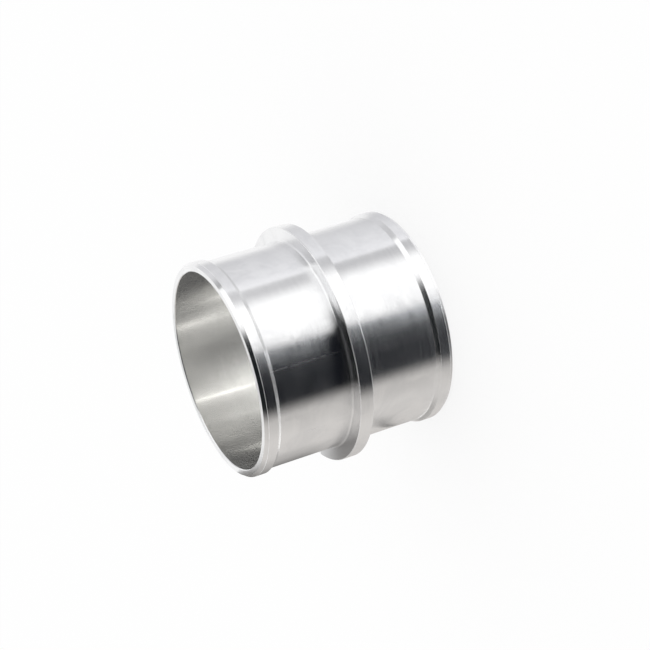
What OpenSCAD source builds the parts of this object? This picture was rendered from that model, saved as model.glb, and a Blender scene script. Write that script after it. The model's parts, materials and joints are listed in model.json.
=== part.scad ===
// Straight coupler for two soft hoses, turned from one piece of bar.
// Each hose slips over a low lip and along a seat until it meets the collar in the middle,
// and a band clamp is tightened over the seat, between the lip and the collar.
// Millimetres. The axis is Z, and the lower end face lies on Z = 0.

/* [Tube] */
// Outside diameter of the hose seats, which is the bore of the hose
seat_d = 76; // [50:0.5:110]
// Wall between the seats and the bore
wall = 2; // [1.6:0.1:5]
// Length from one end face to the other
body_len = 73; // [50:0.5:120]
// Chamfer at each mouth of the bore
mouth_chamfer = 0.25; // [0.1:0.05:0.6]

/* [Lips] */
// Rise of each lip's crest above the seat
lip_rise = 1.1; // [0.5:0.1:3]
// Width of each lip, from the end face to the foot of its flank
lip_w = 6.3; // [4.5:0.1:10]
// Length along the axis of the lead-in slope that spreads the hose
lead_w = 1.3; // [0.6:0.1:2]
// Drop of the lead-in slope from the crest to the end face
lead_drop = 0.9; // [0.5:0.1:1.3]
// Radius that blends the lead-in slope into the crest
lead_blend = 0.4; // [0.2:0.1:2.2]
// Length along the axis of the flank that holds the hose back
flank_w = 1.4; // [0.8:0.1:2.5]
// Radius on the crest's edge at the top of the flank
flank_round = 0.3; // [0.1:0.05:1]
// Radius in the corner between the flank and the seat
flank_fillet = 0.4; // [0.1:0.05:1.5]

/* [Collar] */
// Rise above the seat of the collar that the hoses stop against
collar_rise = 5.2; // [2:0.1:12]
// Width of the collar
collar_w = 5.2; // [2:0.1:12]
// Radius on the collar's two edges
collar_round = 0.35; // [0.1:0.05:0.9]
// Radius in the corners between the collar and the seats
collar_fillet = 0.8; // [0.1:0.05:1.5]

/* [Hidden] */
seat_r = seat_d / 2;
bore_r = seat_r - wall;
crest_r = seat_r + lip_rise;
end_face_r = crest_r - lead_drop;
collar_r = seat_r + collar_rise;
collar_low = (body_len - collar_w) / 2;
// Straight steps in each rounded corner of the section
arc_steps = 8;
$fn = 180;

function unit(v) = v / norm(v);

// The vector v turned anticlockwise by the angle a
function turned(v, a) = [v.x * cos(a) - v.y * sin(a), v.x * sin(a) + v.y * cos(a)];

// The points that replace one corner [x, y, radius] of an outline: the corner itself where its
// radius is 0, or an arc that touches the sides towards the corners before and after it
function corner_arc(before, corner, after) =
    let (
        tip = [corner.x, corner.y],
        back = unit([before.x, before.y] - tip),
        ahead = unit([after.x, after.y] - tip),
        half_angle = acos(back * ahead) / 2,
        centre = tip + unit(back + ahead) * corner.z / sin(half_angle),
        spoke = tip + back * corner.z / tan(half_angle) - centre,
        left_turn = back.y * ahead.x - back.x * ahead.y > 0,
        sweep = (left_turn ? 1 : -1) * (180 - 2 * half_angle)
    )
    corner.z == 0 ? [tip] : [for (k = [0 : arc_steps]) centre + turned(spoke, sweep * k / arc_steps)];

// The outline through a ring of corners, each rounded by its own radius
function rounded(corners) =
    let (n = len(corners))
    [for (i = [0 : n - 1]) each corner_arc(corners[(i + n - 1) % n], corners[i], corners[(i + 1) % n])];

// Corners [radius from the axis, height, rounding] of the section's lower half, from the bore
// round the end face and up the outside to the collar
half_section = [
    [bore_r, mouth_chamfer, 0],
    [bore_r + mouth_chamfer, 0, 0],
    [end_face_r, 0, 0],
    [crest_r, lead_w, lead_blend],
    [crest_r, lip_w - flank_w, flank_round],
    [seat_r, lip_w, flank_fillet],
    [seat_r, collar_low, collar_fillet],
    [collar_r, collar_low, collar_round],
];

// The same corners in the upper half, from the collar down the list to the other mouth
function mirrored(half) =
    [for (i = [len(half) - 1 : -1 : 0]) [half[i].x, body_len - half[i].y, half[i].z]];

// Tube, lips and collar are one turned section
module coupler() {
    color([0.80, 0.80, 0.82])
        rotate_extrude()
            polygon(rounded(concat(half_section, mirrored(half_section))));
}

coupler();
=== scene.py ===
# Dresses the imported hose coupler: one bright turned shell, standing on a pale floor inside a light tent.
import json
import math

import bpy
import numpy as np
from mathutils import Matrix, Vector


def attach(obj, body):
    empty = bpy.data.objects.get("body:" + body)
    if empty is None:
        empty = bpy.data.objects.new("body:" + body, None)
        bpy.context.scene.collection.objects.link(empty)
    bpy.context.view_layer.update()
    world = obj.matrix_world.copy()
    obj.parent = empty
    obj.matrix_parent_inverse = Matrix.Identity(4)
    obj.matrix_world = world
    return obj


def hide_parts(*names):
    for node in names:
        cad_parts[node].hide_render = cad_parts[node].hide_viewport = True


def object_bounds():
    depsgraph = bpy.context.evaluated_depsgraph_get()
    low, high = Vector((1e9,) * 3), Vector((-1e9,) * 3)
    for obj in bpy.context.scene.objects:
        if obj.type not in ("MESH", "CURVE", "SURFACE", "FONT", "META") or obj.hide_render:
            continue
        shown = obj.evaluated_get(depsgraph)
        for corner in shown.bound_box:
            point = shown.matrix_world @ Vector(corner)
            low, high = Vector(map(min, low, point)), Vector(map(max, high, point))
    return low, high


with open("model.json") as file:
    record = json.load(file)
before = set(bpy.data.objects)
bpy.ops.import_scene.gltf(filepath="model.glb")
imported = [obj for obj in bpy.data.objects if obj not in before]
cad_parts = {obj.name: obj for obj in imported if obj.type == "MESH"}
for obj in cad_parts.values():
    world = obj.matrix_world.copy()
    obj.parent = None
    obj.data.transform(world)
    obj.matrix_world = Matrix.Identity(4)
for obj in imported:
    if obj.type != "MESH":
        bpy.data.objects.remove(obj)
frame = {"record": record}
cadLow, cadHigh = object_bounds()
print("frame loaded, box", [round(v, 4) for v in cadHigh - cadLow])

millimetre = 0.001
partLength = cadHigh.z
statedMounts = {m["name"]: m for m in frame["record"]["mounts"]}
seatRadius = statedMounts["lower_hose_seat"]["dims"]["r_mm"] * millimetre


# Camera. It looks down on the upper mouth, and its roll lays the tube on its side in the picture.
cameraSetup = {
    "focalLength": 100.1,  # mm, on a sensor 36 mm wide
    "elevation": 21.94,  # degrees above the horizon
    "roll": -107.09,  # degrees round the line of sight
    "mouthRight": -0.03789,  # where the middle of the upper mouth is seen, in metres
    "mouthUp": -0.01620,
    "mouthAhead": 0.63158,
}


# The camera's axes are the level view along +Y tipped down by the elevation, then rolled;
# its place is the mouth's centre less right, up and ahead times their distances.
def placeCamera(look):
    tip = Matrix.Rotation(math.radians(90 - look["elevation"]), 4, "X")
    turn = tip @ Matrix.Rotation(math.radians(look["roll"]), 4, "Z")
    right, up, back = (turn.to_3x3().col[k] for k in range(3))
    mouth = Vector((0, 0, partLength))
    place = mouth - right * look["mouthRight"] - up * look["mouthUp"] + back * look["mouthAhead"]
    data = bpy.data.cameras.new("camera")
    data.lens = look["focalLength"]
    data.sensor_width = 36
    data.clip_start = 0.01
    camera = bpy.data.objects.new("camera", data)
    camera.matrix_world = Matrix.Translation(place) @ turn
    bpy.context.scene.collection.objects.link(camera)
    bpy.context.scene.camera = camera


placeCamera(cameraSetup)
print("camera placed")


# Node helpers
def newMaterial(name):
    material = bpy.data.materials.new(name)
    material.use_nodes = True
    material.node_tree.nodes.clear()
    return material, material.node_tree


def addNode(tree, kind, inputs=None, **settings):
    node = tree.nodes.new(kind)
    for key, value in settings.items():
        setattr(node, key, value)
    for key, value in (inputs or {}).items():
        if isinstance(value, bpy.types.NodeSocket):
            tree.links.new(value, node.inputs[key])
        else:
            node.inputs[key].default_value = value
    return node


def mathNode(tree, operation, first, second=0.0):
    node = addNode(tree, "ShaderNodeMath", {0: first, 1: second}, operation=operation)
    return node.outputs[0]


def rangeNode(tree, value, low, high, lowest=0.0, highest=1.0, kind="LINEAR"):
    inputs = {0: value, 1: low, 2: high, 3: lowest, 4: highest}
    return addNode(tree, "ShaderNodeMapRange", inputs, interpolation_type=kind).outputs[0]


# A group starts from its input and output names with their starting values
def newGroup(name, inputs, outputs):
    group = bpy.data.node_groups.new(name, "ShaderNodeTree")
    for title, start in inputs.items():
        socket = group.interface.new_socket(title, in_out="INPUT", socket_type="NodeSocketFloat")
        socket.default_value = start
    for title, kind in outputs.items():
        group.interface.new_socket(title, in_out="OUTPUT", socket_type=kind)
    return group, addNode(group, "NodeGroupInput").outputs, addNode(group, "NodeGroupOutput")


def placeGroup(tree, group, values):
    node = addNode(tree, "ShaderNodeGroup", node_tree=group)
    for title, value in values.items():
        if isinstance(value, bpy.types.NodeSocket):
            tree.links.new(value, node.inputs[title])
        else:
            node.inputs[title].default_value = value
    return node.outputs


# Distance from the axis, height, and angle round the axis from -X, in degrees, at the shaded point
def turnedPlace(tree):
    place = addNode(tree, "ShaderNodeTexCoord").outputs["Object"]
    split = addNode(tree, "ShaderNodeSeparateXYZ", {0: place}).outputs
    flat = addNode(tree, "ShaderNodeCombineXYZ", {"X": split["X"], "Y": split["Y"]}).outputs[0]
    fromAxis = addNode(tree, "ShaderNodeVectorMath", {0: flat}, operation="LENGTH").outputs["Value"]
    backY = mathNode(tree, "MULTIPLY", split["Y"], -1.0)
    signed = mathNode(tree, "DEGREES", mathNode(tree, "ARCTAN2", backY, split["X"]))
    angle = mathNode(tree, "ADD", signed, 180.0)
    return {"place": place, "flat": flat, "fromAxis": fromAxis, "height": split["Z"], "angle": angle}


# The fine rings that a lathe tool leaves: noise that changes fast along the section and slowly round it.
# The way along the section is the height plus a share of the distance from the axis, so it changes on walls
# and on faces alike. Fine rings and wide ones add up to one height for the bump.
def buildTurningMarks():
    group, given, put = newGroup(
        "turningMarks",
        {"Pitch": 0.0004, "Depth": 0.000004, "Wander": 5.0},
        {"Normal": "NodeSocketVector", "Rings": "NodeSocketFloat"},
    )
    spot = turnedPlace(group)
    sideways = mathNode(group, "MULTIPLY", spot["fromAxis"], 1.7)
    along = mathNode(group, "ADD", spot["height"], sideways)
    count = mathNode(group, "DIVIDE", along, given["Pitch"])
    around = addNode(
        group,
        "ShaderNodeVectorMath",
        {0: spot["flat"], "Scale": given["Wander"]},
        operation="SCALE",
    ).outputs[0]
    split = addNode(group, "ShaderNodeSeparateXYZ", {0: around}).outputs
    stretched = addNode(group, "ShaderNodeCombineXYZ", {"X": split["X"], "Y": split["Y"], "Z": count})
    rings = addNode(
        group,
        "ShaderNodeTexNoise",
        {"Vector": stretched.outputs[0], "Scale": 1.0, "Detail": 3.0, "Roughness": 0.65},
    ).outputs[0]
    bump = addNode(group, "ShaderNodeBump", {"Strength": 1.0, "Distance": given["Depth"], "Height": rings})
    group.links.new(bump.outputs["Normal"], put.inputs["Normal"])
    group.links.new(rings, put.inputs["Rings"])
    return group


# Marks of handling: Smudge is a slow cloud with soft edges, and Grain a fine cloud drawn out along the rings
def buildHandlingMarks():
    group, given, put = newGroup(
        "handlingMarks",
        {"Cloud Size": 0.016, "Grain Size": 0.0012, "Stretch": 9.0},
        {"Smudge": "NodeSocketFloat", "Grain": "NodeSocketFloat"},
    )
    spot = turnedPlace(group)
    perCloud = mathNode(group, "DIVIDE", 1.0, given["Cloud Size"])
    clouds = addNode(
        group,
        "ShaderNodeTexNoise",
        {"Vector": spot["place"], "Scale": perCloud, "Detail": 4.0, "Roughness": 0.62, "Distortion": 1.1},
    ).outputs[0]
    smudge = rangeNode(group, clouds, 0.40, 0.66, kind="SMOOTHSTEP")
    perGrain = mathNode(group, "DIVIDE", 1.0, given["Grain Size"])
    slow = mathNode(group, "DIVIDE", perGrain, given["Stretch"])
    split = addNode(group, "ShaderNodeSeparateXYZ", {0: spot["place"]}).outputs
    slowX = mathNode(group, "MULTIPLY", split["X"], slow)
    slowY = mathNode(group, "MULTIPLY", split["Y"], slow)
    quickZ = mathNode(group, "MULTIPLY", split["Z"], perGrain)
    drawn = addNode(group, "ShaderNodeCombineXYZ", {"X": slowX, "Y": slowY, "Z": quickZ}).outputs[0]
    grain = addNode(
        group,
        "ShaderNodeTexNoise",
        {"Vector": drawn, "Scale": 1.0, "Detail": 4.0, "Roughness": 0.6},
    ).outputs[0]
    group.links.new(smudge, put.inputs["Smudge"])
    group.links.new(grain, put.inputs["Grain"])
    return group


# One hair scratch along the axis: 1 within half its width of a line whose angle drifts with the height,
# faded at both ends and broken by noise
def buildHairScratch():
    group, given, put = newGroup(
        "hairScratch",
        {"Angle": 288.0, "Drift": 0.0, "Low": 0.04, "High": 0.07, "Width": 0.3},
        {"Mask": "NodeSocketFloat"},
    )
    spot = turnedPlace(group)
    rise = mathNode(group, "SUBTRACT", spot["height"], given["Low"])
    drift = mathNode(group, "MULTIPLY", rise, given["Drift"])
    line = mathNode(group, "ADD", given["Angle"], drift)
    aside = mathNode(group, "ABSOLUTE", mathNode(group, "SUBTRACT", spot["angle"], line))
    share = mathNode(group, "DIVIDE", aside, given["Width"])
    across = rangeNode(group, share, 1.0, 0.3, kind="SMOOTHSTEP")
    fromLow = rangeNode(group, rise, 0.0, 0.003, kind="SMOOTHSTEP")
    toHigh = mathNode(group, "SUBTRACT", given["High"], spot["height"])
    fromHigh = rangeNode(group, toHigh, 0.0, 0.003, kind="SMOOTHSTEP")
    breaks = addNode(
        group,
        "ShaderNodeTexNoise",
        {"Vector": spot["place"], "Scale": 420.0, "Detail": 2.0},
    ).outputs[0]
    kept = rangeNode(group, breaks, 0.36, 0.56, 0.25, 1.0)
    ends = mathNode(group, "MULTIPLY", fromLow, fromHigh)
    mask = mathNode(group, "MULTIPLY", mathNode(group, "MULTIPLY", across, ends), kept)
    group.links.new(mask, put.inputs["Mask"])
    return group


turningMarks = buildTurningMarks()
handlingMarks = buildHandlingMarks()
hairScratch = buildHairScratch()

outerFinish = {
    "color": (0.925, 0.926, 0.930),
    "smudgeColor": (0.870, 0.872, 0.880),
    "ringTone": 0.985,
    "roughness": 0.185,
    "smudgeRoughness": 0.035,
    "ringRoughness": 0.02,
    "edgeRoughness": 0.08,
    "grainRoughness": 0.035,
    "haze": 0.0,
    "scratchRoughness": 0.10,
    "edgeScatter": 0.80,
    "scratchScatter": 0.02,
    "pitch": 0.00055,
    "depth": 0.0000015,
    "scratches": (
        {"Angle": 278.5, "Drift": -20.0, "Low": 0.0405, "High": 0.0690, "Width": 0.28},
        {"Angle": 318.0, "Drift": 35.0, "Low": 0.047, "High": 0.058, "Width": 0.20},
    ),
}
boreFinish = {
    "color": (0.838, 0.835, 0.823),
    "smudgeColor": (0.813, 0.810, 0.798),
    "ringTone": 0.94,
    "roughness": 0.065,
    "smudgeRoughness": 0.02,
    "ringRoughness": 0.03,
    "edgeRoughness": 0.12,
    "grainRoughness": 0.02,
    "haze": 0.12,
    "scratchRoughness": 0.10,
    "edgeScatter": 0.30,
    "scratchScatter": 0.10,
    "pitch": 0.0011,
    "depth": 0.0000006,
    "scratches": (
        {"Angle": 96.0, "Drift": 60.0, "Low": 0.046, "High": 0.063, "Width": 0.25},
    ),
}


# Bare aluminium whose gloss spreads along the section, across the rings of the tool. The tangent follows the
# map's first coordinate, which runs along the section. Rings, smudges, grain, scratches and worn edges add to
# roughness. Rings, smudges and grain also darken the colour. Scratches and worn edges scatter light, and haze
# does so everywhere: Metallic falls from 1 by the greatest of their shares.
def turnedMetal(name, look):
    material, tree = newMaterial(name)
    marks = placeGroup(tree, turningMarks, {"Pitch": look["pitch"], "Depth": look["depth"]})
    handling = placeGroup(tree, handlingMarks, {})
    edge = addNode(tree, "ShaderNodeAttribute", attribute_name="edge").outputs["Fac"]
    scratched = None
    for scratch in look["scratches"]:
        mask = placeGroup(tree, hairScratch, scratch)["Mask"]
        scratched = mask if scratched is None else mathNode(tree, "MAXIMUM", scratched, mask)
    ringPart = rangeNode(tree, marks["Rings"], 0.3, 0.7, 0.0, look["ringRoughness"])
    smudgePart = mathNode(tree, "MULTIPLY", handling["Smudge"], look["smudgeRoughness"])
    worn = mathNode(tree, "MULTIPLY", edge, rangeNode(tree, handling["Grain"], 0.3, 0.6, 0.6, 1.0))
    edgePart = mathNode(tree, "MULTIPLY", worn, look["edgeRoughness"])
    grainPart = rangeNode(tree, handling["Grain"], 0.35, 0.65, 0.0, look["grainRoughness"])
    scratchPart = mathNode(tree, "MULTIPLY", scratched, look["scratchRoughness"])
    edgeScatter = mathNode(tree, "MULTIPLY", worn, look["edgeScatter"])
    scratchScatter = mathNode(tree, "MULTIPLY", scratched, look["scratchScatter"])
    scatter = mathNode(tree, "MAXIMUM", mathNode(tree, "MAXIMUM", edgeScatter, scratchScatter), look["haze"])
    roughness = mathNode(tree, "ADD", ringPart, look["roughness"])
    for part in (smudgePart, grainPart, edgePart, scratchPart):
        roughness = mathNode(tree, "ADD", roughness, part)
    clouded = addNode(
        tree,
        "ShaderNodeMix",
        {0: handling["Smudge"], 6: (*look["color"], 1), 7: (*look["smudgeColor"], 1)},
        data_type="RGBA",
    ).outputs[2]
    streak = rangeNode(tree, handling["Grain"], 0.3, 0.7, 0.97, 1.0)
    ringTone = rangeNode(tree, marks["Rings"], 0.3, 0.7, 1.0, look["ringTone"])
    tone = mathNode(tree, "MULTIPLY", streak, ringTone)
    streakColor = addNode(tree, "ShaderNodeCombineColor", {0: tone, 1: tone, 2: tone}).outputs[0]
    color = addNode(
        tree,
        "ShaderNodeMix",
        {0: 1.0, 6: clouded, 7: streakColor},
        data_type="RGBA",
        blend_type="MULTIPLY",
    ).outputs[2]
    along = addNode(tree, "ShaderNodeTangent", direction_type="UV_MAP", uv_map="sectionMap").outputs[0]
    skin = addNode(
        tree,
        "ShaderNodeBsdfPrincipled",
        {
            "Base Color": color,
            "Metallic": mathNode(tree, "SUBTRACT", 1.0, scatter),
            "Roughness": roughness,
            "Anisotropic": 1.0,
            "Tangent": along,
            "Normal": marks["Normal"],
        },
    )
    addNode(tree, "ShaderNodeOutputMaterial", {"Surface": skin.outputs[0]})
    return material


# The turned shell, in millimetres. Each rounded corner has a radius and a share of wear.
couplerShape = {
    "boreRadius": statedMounts["through_bore"]["dims"]["r_mm"],
    "seatRadius": seatRadius / millimetre,
    "collarRadius": cadHigh.y / millimetre,
    "length": partLength / millimetre,
    "mouthChamfer": 0.25,
    "mouthEdge": (0.06, 0.7),
    "lipRise": 1.1,
    "lipWidth": 6.3,
    "leadWidth": 1.3,
    "leadDrop": 0.9,
    "leadBlend": (0.4, 1.0),
    "faceEdge": (0.08, 0.8),
    "flankWidth": 1.4,
    "flankRound": (0.3, 0.35),
    "flankFillet": (0.4, 0.2),
    "collarWidth": 5.2,
    "collarRound": (0.35, 0.45),
    "collarFillet": (0.8, 0.08),
    "arcSteps": 8,
    "turnSteps": 360,
}


# The lower half's corners (distance from the axis, height, rounding, wear), from the bore round the end face
# and up the outside to the collar, then the same corners mirrored about the middle.
def sectionCorners(shape):
    crest = shape["seatRadius"] + shape["lipRise"]
    collarLow = (shape["length"] - shape["collarWidth"]) / 2
    mouth = shape["boreRadius"] + shape["mouthChamfer"]
    half = np.array([
        (shape["boreRadius"], shape["mouthChamfer"], *shape["mouthEdge"]),
        (mouth, 0, *shape["mouthEdge"]),
        (crest - shape["leadDrop"], 0, *shape["faceEdge"]),
        (crest, shape["leadWidth"], *shape["leadBlend"]),
        (crest, shape["lipWidth"] - shape["flankWidth"], *shape["flankRound"]),
        (shape["seatRadius"], shape["lipWidth"], *shape["flankFillet"]),
        (shape["seatRadius"], collarLow, *shape["collarFillet"]),
        (shape["collarRadius"], collarLow, *shape["collarRound"]),
    ])
    upper = half[::-1] * (1, -1, 1, 1) + (0, shape["length"], 0, 0)
    return np.concatenate([half, upper])


# Each corner becomes an arc that touches both of its sides: the centre lies on the bisector at
# radius / sin(half angle), and a spoke from it sweeps by 180 degrees less the corner's angle.
# A point's normal is its spoke, turned about where the corner is hollow. Wear is a half sine over the arc.
def roundedSection(corners, steps):
    tip = corners[:, :2]
    back = np.roll(tip, 1, axis=0) - tip
    ahead = np.roll(tip, -1, axis=0) - tip
    back /= np.linalg.norm(back, axis=1, keepdims=True)
    ahead /= np.linalg.norm(ahead, axis=1, keepdims=True)
    half = np.arccos(np.sum(back * ahead, axis=1)) / 2
    radius = corners[:, 2]
    middle = back + ahead
    middle /= np.linalg.norm(middle, axis=1, keepdims=True)
    centre = tip + middle * (radius / np.sin(half))[:, None]
    spoke = tip + back * (radius / np.tan(half))[:, None] - centre
    leftTurn = np.sign(back[:, 1] * ahead[:, 0] - back[:, 0] * ahead[:, 1])
    way = np.linspace(0, 1, steps + 1)
    sweep = (leftTurn * (np.pi - 2 * half))[:, None] * way
    cosine = np.cos(sweep)
    sine = np.sin(sweep)
    turned = np.stack([
        spoke[:, :1] * cosine - spoke[:, 1:] * sine,
        spoke[:, :1] * sine + spoke[:, 1:] * cosine,
    ], axis=2)
    points = centre[:, None, :] + turned
    normals = turned * (leftTurn / radius)[:, None, None]
    wear = corners[:, 3:] * np.sin(np.pi * way)
    return points.reshape(-1, 2), normals.reshape(-1, 2), wear.ravel()


# A surface of revolution: every section point is carried round the axis by equal turns, the rings are
# joined into quads, and the last ring and the last turn close on the first.
def latheMesh(name, section, normals, turns):
    rings = len(section)
    angle = np.arange(turns) * (2 * np.pi / turns)
    compass = np.stack([np.cos(angle), np.sin(angle)], axis=1)
    place = np.empty((rings, turns, 3))
    place[:, :, :2] = section[:, None, :1] * compass
    place[:, :, 2] = section[:, 1:]
    facing = np.empty((rings, turns, 3))
    facing[:, :, :2] = normals[:, None, :1] * compass
    facing[:, :, 2] = normals[:, 1:]
    ring = np.arange(rings)[:, None]
    turn = np.arange(turns)[None, :]
    nextRing = (ring + 1) % rings
    nextTurn = (turn + 1) % turns
    quads = np.stack([
        ring * turns + turn,
        ring * turns + nextTurn,
        nextRing * turns + nextTurn,
        nextRing * turns + turn,
    ], axis=2).reshape(-1, 4)
    mesh = bpy.data.meshes.new(name)
    mesh.from_pydata(place.reshape(-1, 3).tolist(), [], quads.tolist())
    walked = np.linalg.norm(np.roll(section, -1, axis=0) - section, axis=1)
    share = np.concatenate([[0], np.cumsum(walked)]) / walked.sum()
    corner = np.empty((rings, turns, 4, 2))
    corner[:, :, 0:2, 0] = share[:-1, None, None]
    corner[:, :, 2:4, 0] = share[1:, None, None]
    corner[:, :, 0::3, 1] = (turn[0] / turns)[None, :, None]
    corner[:, :, 1:3, 1] = ((turn[0] + 1) / turns)[None, :, None]
    sectionMap = mesh.uv_layers.new(name="sectionMap")
    sectionMap.uv.foreach_set("vector", corner.astype(np.float32).ravel())
    mesh.shade_smooth()
    mesh.normals_split_custom_set_from_vertices(facing.reshape(-1, 3).tolist())
    return mesh


def buildCoupler(shape):
    corners = sectionCorners(shape)
    section, normals, wear = roundedSection(corners, shape["arcSteps"])
    mesh = latheMesh("turnedCoupler", section * millimetre, normals, shape["turnSteps"])
    edge = mesh.attributes.new("edge", "FLOAT", "POINT")
    edge.data.foreach_set("value", np.repeat(wear, shape["turnSteps"]).astype(np.float32))
    mesh.materials.append(turnedMetal("turnedOuter", outerFinish))
    mesh.materials.append(turnedMetal("boredInner", boreFinish))
    ringRadius = (section[:, 0] + np.roll(section[:, 0], -1)) / 2
    inBore = ringRadius < shape["boreRadius"] + shape["mouthChamfer"] / 2
    perFace = np.repeat(inBore.astype(np.int32), shape["turnSteps"])
    mesh.polygons.foreach_set("material_index", perFace)
    piece = bpy.data.objects.new("turnedCoupler", mesh)
    bpy.context.scene.collection.objects.link(piece)
    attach(piece, "root")
    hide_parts("coupler")
    return piece


coupler = buildCoupler(couplerShape)
print("coupler turned,", len(coupler.data.polygons), "faces")


# Floor and light. The metal doesn't mirror the floor, because the tent goes on below it.
floorLook = {"color": (0.97, 0.97, 0.97), "whiteShare": 0.8, "halfWidth": 3.0}
worldLook = {"color": (1.0, 1.0, 1.0), "strength": 1.0}


# A square of floor under the part, seen only from above. A share of plain white lifts its soft shadow
# for the rays that show it.
def layFloor(look):
    reach = look["halfWidth"]
    corners = [(-reach, -reach, 0), (reach, -reach, 0), (reach, reach, 0), (-reach, reach, 0)]
    mesh = bpy.data.meshes.new("floor")
    mesh.from_pydata(corners, [], [(0, 1, 2, 3)])
    material, tree = newMaterial("paleFloor")
    paint = addNode(tree, "ShaderNodeBsdfDiffuse", {"Color": (*look["color"], 1)}).outputs[0]
    white = addNode(tree, "ShaderNodeEmission", {"Color": (1, 1, 1, 1), "Strength": 1.0}).outputs[0]
    path = addNode(tree, "ShaderNodeLightPath").outputs
    seen = mathNode(tree, "ADD", path["Is Camera Ray"], path["Is Glossy Ray"])
    shown = mathNode(tree, "ADD", seen, path["Is Transmission Ray"])
    lift = mathNode(tree, "MULTIPLY", mathNode(tree, "MINIMUM", shown, 1.0), look["whiteShare"])
    top = addNode(tree, "ShaderNodeMixShader", {0: lift, 1: paint, 2: white}).outputs[0]
    clear = addNode(tree, "ShaderNodeBsdfTransparent").outputs[0]
    below = addNode(tree, "ShaderNodeNewGeometry").outputs["Backfacing"]
    mixed = addNode(tree, "ShaderNodeMixShader", {0: below, 1: top, 2: clear})
    addNode(tree, "ShaderNodeOutputMaterial", {"Surface": mixed.outputs[0]})
    mesh.materials.append(material)
    floor = bpy.data.objects.new("floor", mesh)
    floor.visible_glossy = False
    bpy.context.scene.collection.objects.link(floor)


# The world lights the floor and the dull marks, but glossy rays meet the tent instead
def lightWorld(look):
    world = bpy.data.worlds.new("tentLight")
    bpy.context.scene.world = world
    world.cycles_visibility.glossy = False
    world.use_nodes = True
    back = world.node_tree.nodes["Background"]
    back.inputs["Color"].default_value = (*look["color"], 1)
    back.inputs["Strength"].default_value = look["strength"]


# Panels of the tent. Each is hung where the turned surface mirrors it to the camera: angle is the stretch
# round the axis, in degrees from -X, and tilt that of the surface's normal towards +Z. lean moves an edge by
# that many degrees for each degree of tilt, fade softens the four edges, and glow gives brightness by angle.
tentDistance = 0.6
panelSpacing = 0.012
shellRadius = 4.0
tentPanels = {
    "keyCloth": {
        "angle": (226, 276), "tilt": (-60, 72), "lean": (-0.13, -0.28), "fade": (1, 2, 6, 6),
        "glow": ((226, 1.22), (276, 1.22)), "tint": (1.0, 1.0, 1.0),
    },
    "greyRoof": {
        "angle": (191, 231), "tilt": (-36, 72), "lean": (0, -0.13), "fade": (14, 0.5, 10, 6),
        "glow": ((191, 0.60), (205, 0.72), (231, 0.97)), "tint": (0.99, 0.99, 1.015),
    },
    "softRoof": {
        "angle": (230.5, 244.5), "tilt": (-36, 16), "lean": (-0.13, -0.13), "fade": (0.7, 10, 10, 8),
        "glow": ((230.5, 0.55), (244.5, 0.60)), "tint": (0.99, 0.99, 1.015),
    },
    "roofSeam": {
        "angle": (206, 231), "tilt": (15, 36), "lean": (-0.13, -0.13), "fade": (20, 0.5, 6, 4),
        "glow": ((206, 0.45), (224, 0.32), (231, 0.30)), "tint": (1.0, 1.0, 1.0),
    },
    "frontGap": {
        "angle": (264.9, 308), "tilt": (-17, 74), "lean": (-0.28, 0), "fade": (5.2, 2, 6, 5),
        "glow": ((264.9, 0.005), (274, 0.003), (308, 0.003)), "tint": (0.50, 0.75, 1.80),
    },
    "lowGlow": {
        "angle": (262, 306), "tilt": (-60, -8), "lean": (-0.28, 0), "fade": (3, 8, 1, 7),
        "glow": ((262, 4.0), (268, 3.6), (272, 1.95), (275, 1.05), (279, 0.74), (286, 0.40), (306, 0.45)),
        "tint": (0.975, 1.0, 1.03),
    },
    "deepShade": {
        "angle": (262, 308), "tilt": (-70, -19), "lean": (0, 0), "fade": (3, 6, 1, 4),
        "glow": ((262, 1.1), (266, 0.9), (270, 0.45), (278, 0.15), (286, 0.13), (294, 0.25), (308, 0.55)),
        "tint": (1.0, 1.0, 1.0),
    },
    "frontBlack": {
        "angle": (262, 304), "tilt": (6, 76), "lean": (-0.30, 0), "fade": (8, 3, 12, 4),
        "glow": ((262, 0.002), (304, 0.002)), "tint": (0.9, 1.0, 1.1),
    },
    "leadShade": {
        "angle": (264, 304), "tilt": (30, 76), "lean": (-0.30, 0), "fade": (8, 3, 6, 4),
        "glow": ((264, 0.02), (304, 0.02)), "tint": (0.9, 1.0, 1.1),
    },
    "tableSweep": {
        "angle": (295.5, 362), "tilt": (-60, 80), "lean": (0, 0), "fade": (11, 2, 6, 6),
        "glow": ((295.5, 0.46), (305, 0.55), (312, 0.61), (319, 0.68), (330, 0.66), (362, 0.60)),
        "tint": (1.035, 1.0, 0.965),
    },
}
tentCards = {
    "underShade": {
        "start": (-0.0365, 0.015, 0.033), "end": (-0.090, 0.015, 0.018), "top": 0.10, "fade": (1, 40, 25, 7),
        "glow": ((0, 0.19), (10, 0.20), (25, 0.32), (40, 0.45), (100, 0.60)), "tint": (1.03, 1.0, 0.97),
    },
}
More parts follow.
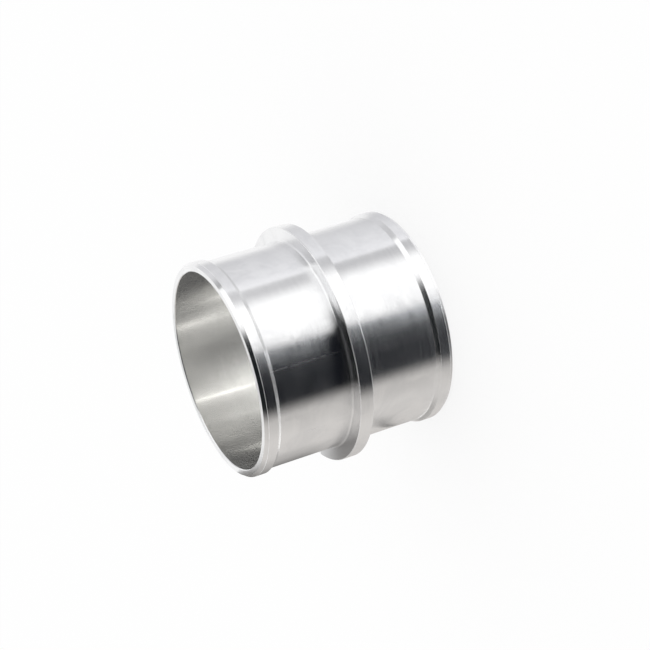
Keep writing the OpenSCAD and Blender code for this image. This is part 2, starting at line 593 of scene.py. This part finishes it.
underMouth = {
    "angle": (105, 465), "rise": (-0.20, -0.001), "radius": 0.15, "tint": (1.0, 1.0, 0.985), "ceiling": 10.0,
    "glow": {  # for light that the bore mirrors to the camera in up to 2, in 3, in 4, and in 5 or more steps
        2: (
            (105, 0.78), (124, 0.60), (140, 0.52), (160, 0.52), (205, 0.90), (260, 1.00), (330, 1.00),
            (385, 1.90), (403, 1.90), (420, 1.55), (436, 1.30), (452, 1.00), (465, 0.78),
        ),
        3: (
            (105, 1.66), (129, 1.45), (153, 1.50), (172, 1.90), (181, 2.30), (187, 4.00), (191, 4.00),
            (197, 2.40), (212, 2.15), (224, 1.95), (248, 1.50), (272, 0.95), (296, 0.62), (320, 0.39),
            (343, 0.34), (367, 0.42), (391, 0.72), (416, 1.02), (440, 1.36), (456, 1.88), (465, 1.66),
        ),
        4: (
            (105, 1.45), (138, 1.60), (170, 1.50), (201, 1.40), (233, 1.50), (264, 1.40), (285, 1.45),
            (313, 2.00), (330, 2.80), (343, 4.00), (354, 3.20), (370, 1.75), (390, 1.10), (407, 0.80),
            (437, 1.00), (465, 1.45),
        ),
        5: (
            (105, 0.50), (140, 0.45), (200, 0.42), (300, 0.60), (370, 0.75), (404, 0.70), (443, 0.60),
            (465, 0.50),
        ),
    },
}
# Small shades close by, hung from the one height whose surface is to mirror them
nearShades = {
    "lipShade": {
        "angle": (322, 358), "tilt": (33, 43), "lean": (0, 0), "fade": (14, 2, 2, 2),
        "glow": ((322, 0.12), (358, 0.08)), "tint": (1.0, 1.0, 1.0), "distance": 0.03, "height": 0.0056,
    },
    "leadWedge": {
        "angle": (220, 231), "tilt": (32, 50), "lean": (-0.13, -0.13), "fade": (10, 0.5, 3, 3),
        "glow": ((220, 0.34), (231, 0.30)), "tint": (1.0, 1.0, 1.0), "distance": 0.05, "height": 0.0723,
    },
}


# Cover falls from 1 inside a panel to 0 at its edges by a smooth step. Start, End, Low and High are the
# widths of the soft edges as shares of the panel.
def buildPanelCover():
    group, given, put = newGroup(
        "panelCover",
        {"Start": 0.1, "End": 0.1, "Low": 0.1, "High": 0.1},
        {"Cover": "NodeSocketFloat", "Across": "NodeSocketFloat"},
    )
    spot = addNode(group, "ShaderNodeUVMap", uv_map="patch").outputs[0]
    parts = addNode(group, "ShaderNodeSeparateXYZ", {0: spot}).outputs
    fromEnd = mathNode(group, "SUBTRACT", 1.0, parts["X"])
    fromTop = mathNode(group, "SUBTRACT", 1.0, parts["Y"])
    cover = None
    for title, inward in (("Start", parts["X"]), ("End", fromEnd), ("Low", parts["Y"]), ("High", fromTop)):
        share = mathNode(group, "DIVIDE", inward, given[title])
        step = rangeNode(group, share, 0.0, 1.0, kind="SMOOTHSTEP")
        cover = step if cover is None else mathNode(group, "MULTIPLY", cover, step)
    group.links.new(cover, put.inputs["Cover"])
    group.links.new(parts["X"], put.inputs["Across"])
    return group


panelCover = buildPanelCover()


# A colour that runs through the glow stops, as shares of the brightest, and the strength that goes with it
def glowRun(tree, across, glow, tint):
    ramp = addNode(tree, "ShaderNodeValToRGB", {0: across})
    first = glow[0][0]
    last = glow[-1][0]
    brightest = max(value for stop, value in glow)
    stops = ramp.color_ramp.elements
    while len(stops) < len(glow):
        stops.new(0.5)
    for element, (stop, value) in zip(stops, glow):
        element.position = (stop - first) / (last - first)
        element.color = (*(value / brightest * share / max(tint) for share in tint), 1)
    return ramp.outputs[0], brightest * max(tint)


# Emission whose brightness follows the glow stops across the panel, and clear where the cover falls away.
# A path that has scattered off a dull mark sees no part of a panel brighter than white, so it adds no specks.
def panelMaterial(name, look, width, height):
    material, tree = newMaterial(name)
    start, end, low, high = look["fade"]
    shares = {"Start": start / width, "End": end / width, "Low": low / height, "High": high / height}
    cover = placeGroup(tree, panelCover, shares)
    color, strength = glowRun(tree, cover["Across"], look["glow"], look["tint"])
    material.cycles.emission_sampling = "NONE"
    scattered = addNode(tree, "ShaderNodeLightPath").outputs["Diffuse Depth"]
    shown = rangeNode(tree, scattered, 0.0, 1.0, strength, min(strength, 1.0))
    glow = addNode(tree, "ShaderNodeEmission", {"Color": color, "Strength": shown}).outputs[0]
    clear = addNode(tree, "ShaderNodeBsdfTransparent").outputs[0]
    mixed = addNode(tree, "ShaderNodeMixShader", {0: cover["Cover"], 1: clear, 2: glow})
    addNode(tree, "ShaderNodeOutputMaterial", {"Surface": mixed.outputs[0]})
    return material


# A grid of places becomes a patch with its own map, seen only by glossy rays
def hangPatch(name, place, material):
    rows, columns = place.shape[:2]
    across, up = np.meshgrid(np.linspace(0, 1, columns), np.linspace(0, 1, rows))
    corner = np.arange(rows * columns).reshape(rows, columns)
    quads = np.stack([corner[:-1, :-1], corner[:-1, 1:], corner[1:, 1:], corner[1:, :-1]], axis=2)
    mesh = bpy.data.meshes.new(name)
    mesh.from_pydata(place.reshape(-1, 3).tolist(), [], quads.reshape(-1, 4).tolist())
    patchMap = mesh.uv_layers.new(name="patch")
    spots = np.stack([across, up], axis=2).reshape(-1, 2)[quads.reshape(-1)]
    patchMap.uv.foreach_set("vector", spots.astype(np.float32).ravel())
    mesh.materials.append(material)
    patch = bpy.data.objects.new(name, mesh)
    patch.visible_camera = False
    patch.visible_diffuse = False
    patch.visible_shadow = False
    patch.visible_transmission = False
    bpy.context.scene.collection.objects.link(patch)


# From the seat's radius at each angle and the given height, the line of sight v leaves along 2 (n . v) n - v
# for a normal n of each tilt. A tilt that would turn the surface away from the camera is raised to the least
# that doesn't.
def hangPanel(name, look, distance, height):
    across, up = np.meshgrid(np.linspace(0, 1, 81), np.linspace(0, 1, 61))
    level = math.radians(cameraSetup["elevation"])
    sight = np.array([0, -math.cos(level), math.sin(level)])
    lowTilt, highTilt = look["tilt"]
    firstTilt = lowTilt + up * (highTilt - lowTilt)
    start = look["angle"][0] + look["lean"][0] * firstTilt
    end = look["angle"][1] + look["lean"][1] * firstTilt
    angle = np.radians(start + across * (end - start))
    least = np.arctan(np.sin(angle) / math.tan(level)) + 0.02
    tilt = np.maximum(np.radians(firstTilt), least)
    radial = np.stack([-np.cos(angle), np.sin(angle), np.zeros_like(angle)], axis=2)
    normal = radial * np.cos(tilt)[:, :, None]
    normal[:, :, 2] = np.sin(tilt)
    away = 2 * (normal @ sight)[:, :, None] * normal - sight
    place = radial * seatRadius + (0, 0, height) + away * distance
    width = look["angle"][1] - look["angle"][0]
    hangPatch(name, place, panelMaterial(name, look, width, highTilt - lowTilt))


# The rest of the tent is a plain white ball round everything, with the world's brightness
def hangShell(look, radius):
    around, up = np.meshgrid(np.linspace(0, 2 * np.pi, 49), np.linspace(-np.pi / 2, np.pi / 2, 25))
    place = radius * np.stack([np.cos(around) * np.cos(up), np.sin(around) * np.cos(up), np.sin(up)], axis=2)
    material, tree = newMaterial("tentShell")
    material.cycles.emission_sampling = "NONE"
    inputs = {"Color": (*look["color"], 1), "Strength": look["strength"]}
    glow = addNode(tree, "ShaderNodeEmission", inputs).outputs[0]
    addNode(tree, "ShaderNodeOutputMaterial", {"Surface": glow})
    hangPatch("tentShell", place, material)


# An upright card beside the part, from start to end along its lower edge and up to one level top. Its fade
# and glow stops are hundredths of its width and height.
def hangCard(name, look):
    across, up = np.meshgrid(np.linspace(0, 1, 41), np.linspace(0, 1, 21))
    start = np.array(look["start"])
    foot = start + across[:, :, None] * (np.array(look["end"]) - start)
    place = foot.copy()
    place[:, :, 2] += up * (look["top"] - foot[:, :, 2])
    hangPatch(name, place, panelMaterial(name, look, 100, 100))


# Emission with a run of glow for each count of mirrorings, added up after all but the one that holds are
# zeroed. It is clear to light that was mirrored only once, which is what the outside sends. A path that has
# scattered off a dull mark sees nothing brighter than white, and any other sees up to the ceiling.
def ringMaterial(name, look):
    material, tree = newMaterial(name)
    material.cycles.emission_sampling = "NONE"
    spot = addNode(tree, "ShaderNodeUVMap", uv_map="patch").outputs[0]
    across = addNode(tree, "ShaderNodeSeparateXYZ", {0: spot}).outputs["X"]
    path = addNode(tree, "ShaderNodeLightPath").outputs
    counts = list(look["glow"])
    count = rangeNode(tree, path["Glossy Depth"], counts[0], counts[-1], counts[0], counts[-1])
    total = 0.0
    for times, glow in look["glow"].items():
        run, strength = glowRun(tree, across, glow, (1.0, 1.0, 1.0))
        bright = mathNode(tree, "MULTIPLY", run, strength)
        held = mathNode(tree, "MULTIPLY", bright, mathNode(tree, "COMPARE", count, times))
        total = mathNode(tree, "ADD", total, held)
    limit = rangeNode(tree, path["Diffuse Depth"], 0.0, 1.0, look["ceiling"], 1.0)
    shown = mathNode(tree, "MINIMUM", total, limit)
    glow = addNode(tree, "ShaderNodeEmission", {"Color": (*look["tint"], 1), "Strength": shown}).outputs[0]
    clear = addNode(tree, "ShaderNodeBsdfTransparent").outputs[0]
    once = mathNode(tree, "LESS_THAN", path["Glossy Depth"], 1.5)
    mixed = addNode(tree, "ShaderNodeMixShader", {0: once, 1: glow, 2: clear})
    addNode(tree, "ShaderNodeOutputMaterial", {"Surface": mixed.outputs[0]})
    return material


# A band round the axis below the lower mouth, wide enough to part what left the bore in different directions
def hangRing(name, look):
    across, up = np.meshgrid(np.linspace(0, 1, 181), np.linspace(0, 1, 9))
    first, last = look["angle"]
    low, high = look["rise"]
    angle = np.radians(first + across * (last - first))
    height = low + up * (high - low)
    place = np.stack([-np.cos(angle) * look["radius"], np.sin(angle) * look["radius"], height], axis=2)
    hangPatch(name, place, ringMaterial(name, look))


layFloor(floorLook)
lightWorld(worldLook)
hangShell(worldLook, shellRadius)
for order, (panelName, panelLook) in enumerate(tentPanels.items()):
    hangPanel(panelName, panelLook, tentDistance - order * panelSpacing, partLength / 2)
for shadeName, shadeLook in nearShades.items():
    hangPanel(shadeName, shadeLook, shadeLook["distance"], shadeLook["height"])
for cardName, cardLook in tentCards.items():
    hangCard(cardName, cardLook)
hangRing("underMouth", underMouth)
print("floor and tent set")

bpy.context.scene.view_settings.view_transform = "Standard"
